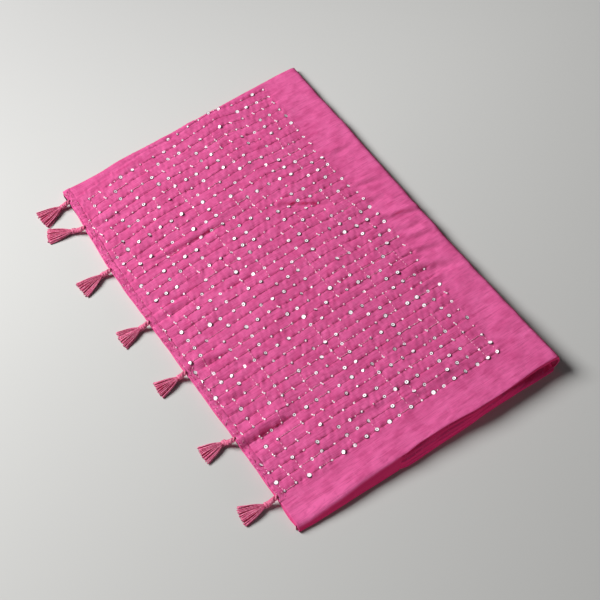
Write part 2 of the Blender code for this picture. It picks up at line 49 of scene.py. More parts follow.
# ---- sizes, in metres unless a table says mm
# The cloth's frame: X from the selvedge to the long fold, Y from the hem to the cross fold.
# SHIFT moves it to the part's frame, centred on the stole's box.
SHIFT = Vector((0.000713, 0.024755, 0))

HEM_WIDTH = 0.0095
HEM_THICK = 0.0025
HEM_END_X = 0.215
HEM_RAMP = 0.0065
SELVEDGE_X = -0.2532
SELVEDGE_LEAN = -0.021
SELVEDGE_REACH = 0.003
SELVEDGE_DROP = 0.0015
SELVEDGE_SWEEP = radians(80)
CROSS_REACH = 0.0065
FOLD_SWEEP = radians(150)  # how far round the cloth goes at both folds
FOLD_END_Z = 0.0008
LOWEST = 0.0004  # the cloth comes no nearer to the table

# Where the hem and the cross fold lie, and the top's height from one to the other, in mm.
SECTIONS = table(
    "x hem_y cross_y at_hem quarter middle three_quarter at_cross", 1000,
    (-250, -170, 165.2, 7.2, 8.8, 9.8, 10.4, 10),
    (-125, -176.5, 166, 7.8, 10, 11.6, 12.4, 11.8),
    (0, -174, 165.2, 8.3, 11.3, 13, 13.8, 13.2),
    (125, -171.2, 166, 8.6, 12.2, 14.8, 16, 16),
    (250, -169.5, 167.5, 9, 15, 20.2, 22.2, 24.2),
)
HEIGHT_COLUMNS = SECTIONS[3:]

# The long fold, along Y, in mm. turn: where the top goes over. reach: how far it stands out, lean:
# how much further at its foot. lip: 0 where it rolls down to the table, 1 for a thin lip over the
# layers, which stand out by bulge up to the share split of the height, and recess sets back the rest.
LONG_FOLD = table(
    "y turn reach lean lip recess bulge split", (1000, 1000, 1000, 1000, 1, 1000, 1000, 1),
    (-172, 235.2, 10, 6, 0, 0, 0, 0.5),
    (-156, 236.4, 10.4, 5.8, 0, 0, 0, 0.5),
    (-113, 237.4, 10.6, 5.6, 0, 0, 0, 0.5),
    (-98, 238.2, 9.2, 6.4, 0, 0, 6.8, 0.88),
    (-85, 239, 7.4, 7.6, 0, 0, 9.4, 0.88),
    (-48, 240.5, 6.8, 7.2, 0, 0, 11.2, 0.88),
    (-38, 241.6, 5.2, 6.8, 1, 0, 12.4, 0.92),
    (-20, 240.8, 4.6, 6, 1, 1, 13.4, 0.9),
    (20, 242.2, 4.4, 6, 1, 1, 12.4, 0.88),
    (50, 245.7, 4, 6, 1, 1, 8.6, 0.84),
    (85, 246.2, 4, 6, 1, 4, 7, 0.68),
    (110, 245.8, 4.2, 6, 1, 12, 7.8, 0.42),
    (135, 245, 4.2, 6, 1, 22, 10.2, 0.22),
    (156, 246.4, 4.2, 6, 1, 26, 8.6, 0.15),
    (172, 249, 4.2, 6, 1, 22, 5, 0.13),
)
LIP_HALF = 0.0012  # half the lip's thickness: the cloth folded on itself
LIP_HALF_AT_CROSS = 0.0036  # where more layers go round with it
ROLL_SHOULDER = 0.36  # the roll is squarer than a round one by this power
BULGE_PEAK = 0.28  # the share of their height where the lower layers stand out most
# At the open corner the cross fold closes like a hairpin, clear of the layers below it.
OPEN_CORNER = (0.205, 0.245)  # where along X it starts and is in full
HAIRPIN_END_Z = 0.0012
HAIRPIN_SWEEP = radians(178)
HAIRPIN_RETURN = (0.004, 0.012, 0.024, 0.04)  # stations of the limb that runs back under the top

# Creases in the top run along Y, each a soft step from a ridge on its selvedge side to a trough: its
# middle's x and y, its length, the width from there to the ridge and the ridge's height, all in mm,
# and how far it leans along X for each metre along Y.
CREASES = np.array((
    (140, -140, 90, 6.4, 3.1, 0.02),
    (-104.5, -90, 150, 3, 1.32, 0),
    (-96, -118, 60, 2.4, 0.78, 0.1),
    (-110, -35, 60, 3.3, 0.78, -0.2),
    (-73.5, 54, 64, 3.3, 2.5, 0.6),
    (-86, 40, 44, 2.9, 0.93, 0.4),
    (-186, -145, 50, 4, 1.24, 0.05),
    (-38, -145, 50, 3.7, 1.24, 0.03),
    (38, -145, 56, 4, 1.39, 0.1),
    (87, -150, 40, 3.3, 0.93, 0.15),
    (62, -110, 60, 3.3, 0.93, 0.35),
    (34, 22, 50, 3.7, 1.09, 0.45),
    (48, 34, 50, 3.3, 1.01, 0.42),
    (186, -30, 60, 3.7, 0.93, 0.1),
    (200, 45, 150, 4.4, 0.93, 0),
    (-115, 138, 40, 3.3, 0.93, 0),
    (-57.5, 134, 50, 3.3, 1.32, 0.21),
    (-33, 124, 40, 3.7, 1.09, 0.15),
    (2.5, 144, 64, 3.7, 1.86, 0.28),
    (20, 133, 44, 2.9, 0.78, 0.2),
    (38, 142, 44, 3.5, 1.24, 0.2),
    (56, 133, 50, 3.7, 1.32, 0.28),
    (81, 129, 60, 5.1, 1.94, 0.3),
    (98, 105, 44, 3.7, 0.93, -0.1),
)) / (1000, 1000, 1000, 1000, 1000, 1)
CREASE_ENDS = 1.3  # power with which a crease fades out to its ends

# ---- the embroidered grid
ROWS = 36  # each a running thread from the hem side to the cross fold side
ROW_PITCH = 0.0129
LAST_ROW_X = 0.208
# The first rows bow towards the selvedge in the middle. shift: of the very first row. In mm.
TOP_BOW = table(
    "y shift", 1000, (-165, 11), (-133, 6.2), (-100, 1), (-60, -2.2), (-30, -1.6), (0, -4.5),
    (40, -9), (66, -3), (110, -2.6),
)
BOW_FADE = 1.5  # power with which the bow fades out over the rows
COLUMNS = 20  # at most, counted back from the cross fold side
COLUMN_PITCHES = (0.01525, 0.01445)  # in the first row and in the last
# The last column's line, in mm.
LAST_COLUMN = table(
    "x y", 1000, (-235, 110), (-110, 110.5), (-75, 112), (-29, 116.5), (101, 117), (140, 114),
    (192, 114), (208, 115.5),
)
GRID_MARGIN = 0.0085  # no dot lies nearer than this to the hem's outer line
FULL_FIRST_ROW_Y = -0.04  # the first row starts here; before it the cloth is plain

# ---- colours, linear
CLOTH = (0.775, 0.126, 0.352)
CLOTH_DEEP = (0.54, 0.045, 0.185)
CLOTH_PALE = (0.9, 0.24, 0.5)
CLOTH_BAND_LIT = (0.95, 0.165, 0.44)  # the plain bands round the embroidery, painted lighter: painted light
CLOTH_SIDE_SHADE = (0.8, 0.026, 0.165)  # painted shade on upright faces: the deeper, redder colour they show out of the light
CLOTH_FOLD_SHADE = (0.69, 0.022, 0.14)  # the same painted shade on the outer cloth
THREAD = (0.94, 0.5, 0.68)
THREAD_PALE = (0.98, 0.76, 0.86)
THREAD_MID = (0.46, 0.035, 0.135)
THREAD_DEEP = (0.26, 0.012, 0.08)
THREAD_DARK = (0.1, 0.006, 0.035)
TASSEL = (0.85, 0.185, 0.35)
TASSEL_DEEP = (0.4, 0.036, 0.11)
TASSEL_PALE = (0.96, 0.4, 0.56)
SEQUIN = (0.98, 0.925, 0.975)
SEQUIN_DULL = (0.89, 0.82, 0.88)
BEAD = (0.09, 0.05, 0.07)
BEAD_PALE = (0.3, 0.26, 0.29)
FLOOR = (0.69, 0.692, 0.68)
FLOOR_NEAR_SHADE = (0.554, 0.555, 0.545)
FLOOR_FAR_LEFT_SHADE = (0.52, 0.52, 0.515)


# ---- helpers
def mix(a, b, share):
    return a + (b - a) * share


def unit(vectors):
    return vectors / np.linalg.norm(vectors, axis=-1, keepdims=True)


def ease(low, high, value):
    """0 up to low and 1 from high on, with a smooth step between."""
    t = np.clip((value - low) / (high - low), 0, 1)
    return t * t * (3 - 2 * t)


def spline(values, place):
    """A smooth curve through evenly spaced values, which may have a column for each place."""
    place = np.asarray(place, float)
    last = len(values) - 1
    i = np.clip(place.astype(int), 0, last - 1)
    t = place - i

    def take(k):
        k = np.clip(k, 0, last)
        return values[k] if values.ndim == 1 else np.take_along_axis(values, k[None], 0)[0]

    before, start, end, after = take(i - 1), take(i), take(i + 1), take(i + 2)
    return start + 0.5 * t * (
        end - before
        + t * (2 * before - 5 * start + 4 * end - after + t * (3 * (start - end) + after - before))
    )


def fold_at(y, name):
    return np.interp(y, LONG_FOLD.y, getattr(LONG_FOLD, name))


def lip_half(y):
    return mix(LIP_HALF, LIP_HALF_AT_CROSS, ease(0.085, 0.15, y))


def section_place(x):
    return (x - SECTIONS.x[0]) / (SECTIONS.x[1] - SECTIONS.x[0])


def hem_y(x):
    return spline(SECTIONS.hem_y, section_place(x))


def cross_y(x):
    return spline(SECTIONS.cross_y, section_place(x))


def selvedge_x(y):
    return SELVEDGE_X + SELVEDGE_LEAN * y


# Each kind's size, its seed and how far it is drawn out along Y.
RIPPLES = {
    "pillow": (0.03, 5, 1), "pucker": (0.0075, 11, 0.7), "wrinkle": (0.013, 23, 1.8),
    "swell": (0.042, 3, 1.6), "streak": (0.0045, 17, 6), "selvedge": (0.045, 31, 1),
    "cross fold": (0.035, 37, 1), "puff": (0.009, 43, 1), "gather": (0.0042, 45, 1),
    "wave": (0.022, 47, 1),
}


def flat_height(x, y):
    """The top of the cloth with no creases."""
    across = np.array([spline(column, section_place(x)) for column in HEIGHT_COLUMNS])
    share = np.clip((y - hem_y(x)) / (cross_y(x) - hem_y(x)), 0, 1)
    return spline(across, share * (len(HEIGHT_COLUMNS) - 1))


def ripples(name, x, y):
    """Uneven ripples, mostly between -1 and 1."""
    size, seed, stretch = RIPPLES[name]
    draw = np.random.default_rng(seed)
    waves, total = 20, 0
    for _ in range(waves):
        turn, phase = draw.uniform(0, 2 * pi, 2)
        pitch = size * draw.uniform(0.7, 1.7)
        total = total + np.sin(2 * pi * (x * cos(turn) + y * sin(turn) / stretch) / pitch + phase)
    return total / sqrt(waves)


# ---- the grid's lines
def row_x(row, y):
    """Where a row line crosses y. row may be a fraction."""
    fade = np.clip(1 - row / (ROWS - 1), 0, 1) ** BOW_FADE
    return LAST_ROW_X - ROW_PITCH * (ROWS - 1 - row) + np.interp(y, *TOP_BOW) * fade


def row_at(x, y):
    """The row line, as a fraction, at a place: the other way round from row_x."""
    row = ROWS - 1 + (x - LAST_ROW_X) / ROW_PITCH
    for _ in range(4):
        row = row + (x - row_x(row, y)) / ROW_PITCH
    return row


def column_pitch(row):
    return mix(*COLUMN_PITCHES, row / (ROWS - 1))


def last_column_y(x):
    return np.interp(x, *LAST_COLUMN)


def grid_share(x, y):
    """1 inside the embroidered grid, 0 on the plain bands round it."""
    row = row_at(x, y)
    inside = ease(-0.7, -0.1, row) * (1 - ease(ROWS - 0.9, ROWS - 0.3, row))
    last = last_column_y(x)
    return inside * (1 - ease(last + 0.002, last + 0.01, y))


# ---- the cloth's surface
GROOVE_DEPTH = 0.00085
GROOVE_WIDTH = 0.0008
PULL_WIDTH = 0.0035  # the puckers are strongest so near to a row line
PILLOW_HEIGHT = 0.00018
PUCKER_HEIGHT = 0.00038
WRINKLE_HEIGHT = 0.00026
SWELL_HEIGHT = 0.00045
STREAK_HEIGHT = 0.0001


def crease_depth(x, y):
    total = 0
    for middle_x, middle_y, length, width, depth, lean in CREASES:
        run = np.clip((y - middle_y) / (length / 2), -1, 1)
        side = (x - middle_x - lean * (y - middle_y)) / width
        shape = depth * side * np.exp((1 - side * side) / 2) * (1 - run * run) ** CREASE_ENDS
        total = total + shape
    return total


def top_height(x, y):
    """The top with its creases, the row lines' grooves and the puckers between."""
    row = row_at(x, y)
    nearest = np.round(row)
    across = (row - nearest) * ROW_PITCH
    uneven = 0.62 + 0.38 * np.sin(7.3 * nearest + 55 * y) * np.sin(3.1 * nearest + 21 * y + 1)
    groove = GROOVE_DEPTH * uneven * np.exp(-((across / GROOVE_WIDTH) ** 2))
    pillow = PILLOW_HEIGHT * np.abs(np.sin(pi * row)) * (0.7 + 0.4 * ripples("pillow", x, y))
    pull = np.exp(-((across / PULL_WIDTH) ** 2))
    pucker = PUCKER_HEIGHT * (0.5 + pull) * ripples("pucker", x, y)
    inside = grid_share(x, y)
    wrinkle = WRINKLE_HEIGHT * ripples("wrinkle", x, y)
    streak = STREAK_HEIGHT * ripples("streak", x, y)
    detail = inside * (pillow - groove + pucker) + SWELL_HEIGHT * ripples("swell", x, y)
    detail = detail + wrinkle * (0.45 + 0.55 * inside) + streak * (1.2 - 0.7 * inside)
    return flat_height(x, y) - crease_depth(x, y) + detail


SPOT_STEP = 0.0008
SPOT_X = np.arange(-0.262, 0.262, SPOT_STEP)
SPOT_Y = np.arange(-0.184, 0.182, SPOT_STEP)
SPOT_HEIGHTS = top_height(*np.meshgrid(SPOT_X, SPOT_Y, indexing="ij"))


def spot_height(x, y):
    """top_height read from a fine table of it, which is quicker for single spots."""
    across = np.clip((x - SPOT_X[0]) / SPOT_STEP, 0, len(SPOT_X) - 1.001)
    along = np.clip((y - SPOT_Y[0]) / SPOT_STEP, 0, len(SPOT_Y) - 1.001)
    i, j = across.astype(int), along.astype(int)
    sides = [mix(SPOT_HEIGHTS[i, k], SPOT_HEIGHTS[i + 1, k], across - i) for k in (j, j + 1)]
    return mix(*sides, along - j)


def normal_at(x, y, step=0.0012):
    falls = [(spot_height(x - i, y - j) - spot_height(x + i, y + j)) / (2 * step)
             for i, j in ((step, 0), (0, step))]
    return unit(np.stack([*falls, np.ones_like(falls[0])], -1))


# ---- mesh building
def add_object(name, data, place=None, turn=None):
    made = bpy.data.objects.new(name, data)
    bpy.context.scene.collection.objects.link(made)
    if place:
        made.matrix_world = Matrix.Translation(place) @ turn.to_matrix().to_4x4()
    return made


class MeshData:
    """Points, faces and UVs, gathered first and made into one piece at the end."""

    def __init__(self):
        self.points, self.faces, self.uvs, self.count = [], [], [], 0

    def add(self, points, faces, uvs=None):
        points = np.reshape(points, (-1, 3))
        self.points.append(points)
        self.faces += (faces + self.count).tolist()
        self.uvs.append(np.zeros((len(points), 2)) if uvs is None else np.reshape(uvs, (-1, 2)))
        self.count += len(points)

    def build(self, name, material, slot, stands_for=None, sharp=None):
        points = np.concatenate(self.points) + np.array(SHIFT)
        mesh = bpy.data.meshes.new(name)
        mesh.from_pydata(points.tolist(), [], self.faces)
        uvs = np.concatenate(self.uvs)[[corner for face in self.faces for corner in face]]
        mesh.uv_layers.new(name="cloth").data.foreach_set("uv", uvs.ravel())
        mesh.shade_smooth()
        if sharp is not None:
            mesh.set_sharp_from_angle(angle=radians(sharp))
        mesh.materials.append(material)
        mesh.update()
        piece = add_object(name, mesh)
        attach(piece, "root")
        if stands_for:
            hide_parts(stands_for)
        return piece


def grid_faces(rows, columns, wrap=False):
    """Faces of a grid of points, row after row; wrap joins the last column to the first."""
    here = np.arange((rows - 1) * columns).reshape(-1, columns)
    following = np.roll(here, -1, 1)
    faces = np.stack([here, following, following + columns, here + columns], -1)
    return faces[:, : columns if wrap else columns - 1].reshape(-1, 4)


def square_to(path):
    """Two vectors square to each point's heading, the first of them level."""
    tangent = np.gradient(path, axis=0)
    tangent /= np.linalg.norm(tangent, axis=1, keepdims=True) + 1e-12
    level = np.stack([tangent[:, 1], -tangent[:, 0], np.zeros(len(path))], 1)
    size = np.linalg.norm(level, axis=1, keepdims=True)
    level = np.where(size > 1e-6, level / np.maximum(size, 1e-6), [[1, 0, 0]])
    return level, np.cross(level, tangent)


def run_along(path):
    """How far along the path each point lies."""
    return np.append(0, np.cumsum(np.linalg.norm(np.diff(path, axis=0), axis=1)))


def circle(a, b, angle):
    """Points on the circle that a and b span."""
    return np.cos(angle)[..., None] * a + np.sin(angle)[..., None] * b


def angles(sides):
    return 2 * pi * np.arange(sides) / sides


def add_tube(data, path, radius, sides):
    """A closed tube along a path; radius is one number or one for each point."""
    radius = np.broadcast_to(radius, len(path))[:, None]
    level, upright = square_to(path)
    ring = circle(level[:, None], upright[:, None], angles(sides))
    uvs = np.stack(np.broadcast_arrays(angles(sides) * radius, run_along(path)[:, None]), -1)
    first = data.count
    data.add(path[:, None] + ring * radius[..., None], grid_faces(len(path), sides, wrap=True), uvs)
    data.faces += [list(range(first, first + sides))[::-1], list(range(data.count - sides, data.count))]


def bezier(a, b, c, count):
    """Points on a smooth arc from a to c that leans towards b."""
    t = np.linspace(0, 1, count)[:, None]
    return (1 - t) ** 2 * a + 2 * t * (1 - t) * b + t * t * c


# ---- materials
PLY_PITCH = 0.0011


class Shader:
    """A Principled material whose nodes are added by short calls."""

    def __init__(self, name, **uniform):
        self.material = bpy.data.materials.new(name)
        self.material.use_nodes = True
        self.tree = self.material.node_tree
        self.sockets = self.tree.nodes["Principled BSDF"].inputs
        for key, value in uniform.items():
            socket = self.sockets[key.replace("_", " ")]
            colour = isinstance(value, tuple) and len(socket.default_value) == 4
            socket.default_value = (*value, 1) if colour else value

    def node(self, kind, inputs=None, output=0, **settings):
        made = self.tree.nodes.new(kind)
        for name, value in settings.items():
            setattr(made, name, value)
        for name, value in (inputs or {}).items():
            if isinstance(value, bpy.types.NodeSocket):
                self.tree.links.new(value, made.inputs[name])
            else:
                made.inputs[name].default_value = value
        return made.outputs[output]

    def place(self, which, scale):
        """Texture coordinates, by UV or in the object's space, scaled per metre."""
        scale = scale if isinstance(scale, tuple) else (scale,) * 3
        source = self.node("ShaderNodeTexCoord", output=which)
        return self.node("ShaderNodeMapping", {"Vector": source, "Scale": scale})

    def noise(self, which, scale, detail=3, roughness=0.55, distortion=0):
        inputs = {"Vector": self.place(which, scale), "Scale": 1, "Detail": detail,
                  "Roughness": roughness, "Distortion": distortion}
        return self.node("ShaderNodeTexNoise", inputs)

    def maths(self, operation, a, b):
        return self.node("ShaderNodeMath", {0: a, 1: b}, operation=operation)

    def times(self, a, b):
        return self.maths("MULTIPLY", a, b)

    def remap(self, value, low, high, to_low=0, to_high=1):
        inputs = {0: value, 1: low, 2: high, 3: to_low, 4: to_high}
        return self.node("ShaderNodeMapRange", inputs, interpolation_type="SMOOTHSTEP")

    def part(self, which, axis):
        """One part, 0 to 2, of the normal, the UV or the place in the object."""
        source = self.node("ShaderNodeTexCoord", output=which)
        return self.node("ShaderNodeSeparateXYZ", {"Vector": source}, axis)

    def off_hem(self):
        """1 away from the hem side, 0 on faces that look out there."""
        return self.remap(self.part("Normal", 1), -0.35, -0.85, 1, 0)

    def side_shade_share(self):
        """The share of painted shade: 0 where the cloth lies level, 1 where it stands upright or faces
        down, less at the hem.
        """
        steep = self.remap(self.part("Normal", 2), 0.92, 0.62)
        return self.times(steep, self.remap(self.off_hem(), 0, 1, 0.25, 1))

    def blend(self, share, a, b):
        a, b = ((*colour, 1) if isinstance(colour, tuple) else colour for colour in (a, b))
        return self.node("ShaderNodeMix", {0: share, 6: a, 7: b}, 2, data_type="RGBA")

    def tint(self, colour, pattern, low, high, to, most=1):
        """The colour, turned to another where the pattern goes from low to high."""
        return self.blend(self.remap(pattern, low, high, 0, most), colour, to)

    def finish(self, relief=None, distance=0, strength=1, **driven):
        """Drive sockets of the shader, and its normal by a bump of the relief."""
        if relief:
            inputs = {"Height": relief, "Distance": distance, "Strength": strength}
            driven["Normal"] = self.node("ShaderNodeBump", inputs)
        for name, output in driven.items():
            self.tree.links.new(output, self.sockets[name.replace("_", " ")])
        return self.material


def woven_material(name, which="UV", slub=(1150, 62, 1), weft=(80, 760, 1),
                   painted_shade=1, base=CLOTH, side=CLOTH_SIDE_SHADE):
    """Hand-loom cloth: long streaks along Y, fainter ones along X and a fine weave; painted shade
    deepens upright faces, and on the panel painted light brightens the plain bands.
    """
    cloth = Shader(name, Roughness=0.7, Sheen_Weight=0.1, Sheen_Roughness=0.45, Sheen_Tint=CLOTH,
                   Specular_IOR_Level=0.12)
    slubs = cloth.noise(which, slub, 4, 0.62, 0.25)
    thick = cloth.noise(which, tuple(0.42 * scale for scale in slub), 2, distortion=0.4)
    wefts = cloth.noise(which, weft, 3, 0.6)
    broad = cloth.noise(which, (26, 18, 26), 2)
    patches = cloth.noise(which, (95, 60, 95), 2)
    fine = cloth.noise(which, 2600, 1)
    # Where base is another colour, as the layers' painted shade, faces that look out at the hem side
    # keep the plain cloth colour.
    colour = base if base == CLOTH else cloth.blend(cloth.off_hem(), CLOTH, base)
    streaks = cloth.remap(slubs, 0.55, 0.33, 0, 0.62)
    if which == "UV":  # painted light: the plain bands are painted brighter, and they are calmer
        past_rows = cloth.remap(cloth.part("UV", 0), LAST_ROW_X - 0.004, LAST_ROW_X + 0.022)
        past_columns = cloth.remap(cloth.part("UV", 1), 0.108, 0.134)
        plain = cloth.times(cloth.maths("MAXIMUM", past_rows, past_columns), 0.75)
        colour = cloth.blend(plain, CLOTH, CLOTH_BAND_LIT)
        streaks = cloth.times(streaks, cloth.remap(plain, 0, 0.75, 1, 0.68))
    colour = cloth.blend(streaks, colour, CLOTH_DEEP)
    for tint in ((thick, 0.43, 0.28, CLOTH_DEEP, 0.5), (wefts, 0.54, 0.74, CLOTH_PALE, 0.5),
                 (patches, 0.42, 0.7, CLOTH_DEEP, 0.4), (broad, 0.35, 0.65, CLOTH_DEEP, 0.22)):
        colour = cloth.tint(colour, *tint)
    # Painted shade: upright faces turn to the side colour, by painted_shade's share.
    colour = cloth.blend(cloth.times(cloth.side_shade_share(), painted_shade), colour, side)
    relief = slubs
    for pattern, share in ((wefts, 0.6), (fine, 0.35), (patches, 1.6)):
        relief = cloth.maths("ADD", relief, cloth.times(pattern, share))
    return cloth.finish(relief, 0.0008, 0.7, Base_Color=colour)


def thread_material(name, colour, deep):
    """Twisted thread: slanting plies along each strand, with painted shade in the grooves between them
    so their crowns stand out lighter.
    """
    thread = Shader(name, Roughness=0.6, Sheen_Weight=0.15, Sheen_Roughness=0.5)
    turns = {"Vector": thread.place("UV", (1 / PLY_PITCH, 0.8 / PLY_PITCH, 1)), "Scale": 0.3}
    plies = thread.node("ShaderNodeTexWave", turns, 1, bands_direction="DIAGONAL")
    height = thread.maths("ADD", plies, thread.noise("Object", 700, 2))
    # Painted shade: the deep colour fills the low parts of the ply relief, with a random tone from the
    # noise.
    colour = thread.tint(deep, height, 0.5, 1.3, colour)
    return thread.finish(height, 0.0003, 0.5, Base_Color=colour)


def yarn_material():
    """Loose yarn: fine fibres along each strand and paler patches; the strands that lie low are painted
    deep, as painted shade under the others.
    """
    yarn = Shader("tassel_yarn", Roughness=0.62, Sheen_Weight=0.15, Sheen_Roughness=0.5,
                  Sheen_Tint=TASSEL_PALE, Specular_IOR_Level=0.2)
    fibres = yarn.noise("UV", (1500, 40, 1))
    patches = yarn.noise("Object", 420, 2)
    colour = yarn.tint(TASSEL_DEEP, fibres, 0.35, 0.62, TASSEL)
    colour = yarn.tint(colour, patches, 0.45, 0.64, TASSEL_PALE, 0.4)
    # Painted shade: strands near the table turn deep, standing in for the shade under the upper ones.
    colour = yarn.tint(colour, yarn.part("Object", 2), 0.0021, 0.0008, TASSEL_DEEP)
    return yarn.finish(fibres, 0.0003, 0.6, Base_Color=colour)


def sequin_material():
    """White foil with a pearly gloss, some a little duller than others; it glows a little, which is
    painted light.
    """
    # Painted light: the foil glows faintly, so the sequins, beads and specks made of it stay bright.
    foil = Shader("sequin_white", Roughness=0.22, Coat_Weight=0.6, Coat_Roughness=0.12,
                  Emission_Color=SEQUIN, Emission_Strength=0.18)
    colour = foil.tint(SEQUIN_DULL, foil.noise("Object", 130, 1), 0.35, 0.65, SEQUIN)
    brushed = foil.remap(foil.noise("Object", 1500, 2), 0.3, 0.7, 0.16, 0.34)
    return foil.finish(Base_Color=colour, Roughness=brushed)


def bead_material():
    """Small dark glass beads in the sequins' holes."""
    glass = Shader("bead_grey", Roughness=0.25, Coat_Weight=0.5, Coat_Roughness=0.1)
    colour = glass.tint(BEAD, glass.noise("Object", 400, 1), 0.4, 0.6, BEAD_PALE)
    return glass.finish(Base_Color=colour)


# ---- the stage
CAMERA_PLACE = Vector((0.539, -0.3649, 1.0703))
CAMERA_TURN = Euler((radians(90 - 59.97), 0, radians(55.89)))
CAMERA_LENS_MM = 66
# Each light: place, aim, shape, size and watts. The fill is low and reaches the upright sides only.
LIGHTS = {
    "key": (Vector((-1.27, -1.23, 1.52)), Vector((0.3, -0.4, 0)), "DISK", (1.25, 1.25), 82.5),
    "fill": (Vector((2.1, -0.3, 0.1)), Vector((0.2, 0, 0)), "RECTANGLE", (1.3, 0.12), 9),
}
LIGHT_COLOUR = (1, 0.995, 0.985)
WORLD_COLOUR = (0.96, 0.97, 1, 1)
WORLD_STRENGTH = 0.055
FLOOR_CORNERS = ((-6, -6, 0), (6, -6, 0), (6, 6, 0), (-6, 6, 0))


def build_floor():
    """Pale paper, painted darker near by and far to the left: painted shade for the lights' falloff."""
    paper = Shader("floor_paper", Roughness=0.9)
    grain = paper.noise("Object", 300, 2)
    colour = paper.blend(grain, tuple(0.97 * channel for channel in FLOOR), FLOOR)
    x, y = paper.part("Object", 0), paper.part("Object", 1)
    nearness = paper.maths("SUBTRACT", paper.times(x, 0.83), paper.times(y, 0.56))
    # Painted shade: the paper darkens towards the near side and far left, standing in for the light
    # falling off.
    colour = paper.tint(colour, nearness, -0.55, 0.48, FLOOR_NEAR_SHADE)
    colour = paper.tint(colour, x, -0.1, -0.62, FLOOR_FAR_LEFT_SHADE)
    mesh = bpy.data.meshes.new("floor")
    mesh.from_pydata(FLOOR_CORNERS, [], [(0, 1, 2, 3)])
    mesh.materials.append(paper.finish(Base_Color=colour))
    add_object("floor", mesh)


def build_lights():
    for name, (place, aim, shape, size, watts) in LIGHTS.items():
        data = bpy.data.lights.new(name, "AREA")
        data.shape, data.energy, data.color = shape, watts, LIGHT_COLOUR
        data.size, data.size_y = size
        add_object(name, data, place, (aim - place).to_track_quat("-Z", "Y"))
    world = bpy.data.worlds.new("soft_room")
    world.use_nodes = True
    background = world.node_tree.nodes["Background"].inputs
    background[0].default_value = WORLD_COLOUR
    background[1].default_value = WORLD_STRENGTH
    bpy.context.scene.world = world
    bpy.context.scene.view_settings.view_transform = "Standard"


# ---- the top panel
PANEL_ROWS = 188
ROW_STATIONS = (0, 0.045, 0.1, 0.23, 0.4, 0.56, 0.72, 0.88, 0.95)
BAND_STATIONS = 22
ROLL_STEPS = 15
ROLL_SPACING = 1.8  # the stations lie closer at the roll's shoulder, by this power
CROSS_STEPS = 12
HEM_FADE = 0.01  # over this the hem thins out to its end
HEM_TUCK = 0.0011  # under the hem the panel lies this much lower
EDGE_TURN = 0.0012  # a free edge turns down by this
LIP_RETURN = (0.003, 0.007, 0.012)  # stations of the cloth that goes back in under the lip
EDGE_WAVE = 0.00045


def panel_columns():
    """Stations across the panel: (kind, value), from the selvedge to inside the long fold."""
    hem_end = (HEM_END_X - LAST_ROW_X) / (LONG_FOLD.turn[0] - LAST_ROW_X)
    stations = {
        "selvedge": [SELVEDGE_SWEEP * share for share in (1, 0.6, 0.25)],
        "before": (0, 0.3, 0.6, 0.85),
        "row": [row + share for row in range(ROWS - 1) for share in ROW_STATIONS],
        "after": sorted([*np.linspace(0, 1, BAND_STATIONS), hem_end]),
        "fold": [((i + 1) / ROLL_STEPS) ** ROLL_SPACING for i in range(ROLL_STEPS)],
        "return": LIP_RETURN,
    }
    return [(kind, value) for kind, values in stations.items() for value in values]


def panel_column(kind, value, up, turned, back):
    """The points and UVs of one station, from the hem to the cross fold, round it and back."""
    y_guess = mix(hem_y(0), cross_y(0) - CROSS_REACH, up)
    low_x = selvedge_x(y_guess) + SELVEDGE_REACH + EDGE_WAVE * ripples("selvedge", y_guess, 0)
    high_x = fold_at(y_guess, "turn")
    x = low_x if kind == "selvedge" else high_x
    if kind == "row":
        x = row_x(value, y_guess)
    if kind == "before":
        x = mix(low_x, row_x(0, y_guess), value)
    if kind == "after":
        x = mix(row_x(ROWS - 1, y_guess), high_x, value)
    far = cross_y(x) - CROSS_REACH + EDGE_WAVE * ripples("cross fold", x, 0)
    y = mix(hem_y(x) + 0.0003, far, up)
    seam = ease(-0.0002, -0.002, y - hem_y(x) - HEM_WIDTH)
    under_hem = seam * ease(HEM_END_X, HEM_END_X - HEM_FADE, x)
    height = top_height(x, y) - HEM_TUCK * under_hem
    opened = np.maximum(0, np.cos(turned * FOLD_SWEEP))
    along, hairpin = x, ease(*OPEN_CORNER, x)
    drop = np.zeros_like(y)
    if kind == "selvedge":
        x = x - SELVEDGE_REACH * sin(value) / sin(SELVEDGE_SWEEP)
        drop = SELVEDGE_DROP * (1 - cos(value)) / (1 - cos(SELVEDGE_SWEEP)) * opened
        along = along - SELVEDGE_REACH * value
    if kind in ("fold", "return"):
        lip, reach = ease(0, 1, fold_at(y, "lip")), fold_at(y, "reach")
        half_drop = mix((height - FOLD_END_Z) / (1 - cos(FOLD_SWEEP)), lip_half(y), lip)
        angle = mix(pi / 2, mix(FOLD_SWEEP, pi, lip), opened) * (value if kind == "fold" else 1)
        sunk = (1 - np.cos(angle)) / 2
        lean = fold_at(y, "lean") * (1 - lip)
        x = x + reach * np.sin(angle) ** ROLL_SHOULDER + lean * sunk * opened
        drop = 2 * half_drop * sunk * opened
        along = along + 1.3 * (reach + half_drop) / 2 * angle
        if kind == "return":
            x = x - value * mix(0.25, 1, lip) * opened
            along = along + value
    sweep = mix(FOLD_SWEEP, HAIRPIN_SWEEP, hairpin)
    half_cross = (height - mix(FOLD_END_Z, HAIRPIN_END_Z, hairpin)) / (1 - np.cos(sweep))
    round_fold = half_cross * (1 - np.cos(turned * sweep))
    across = y + 1.1 * half_cross * turned * sweep + back
    y = y + CROSS_REACH * np.sin(turned * sweep) - back * mix(0.1, 1, hairpin)
    points = np.stack([x, y, np.maximum(height - drop - round_fold, LOWEST)], -1)
    return points, np.stack([along, across], -1)


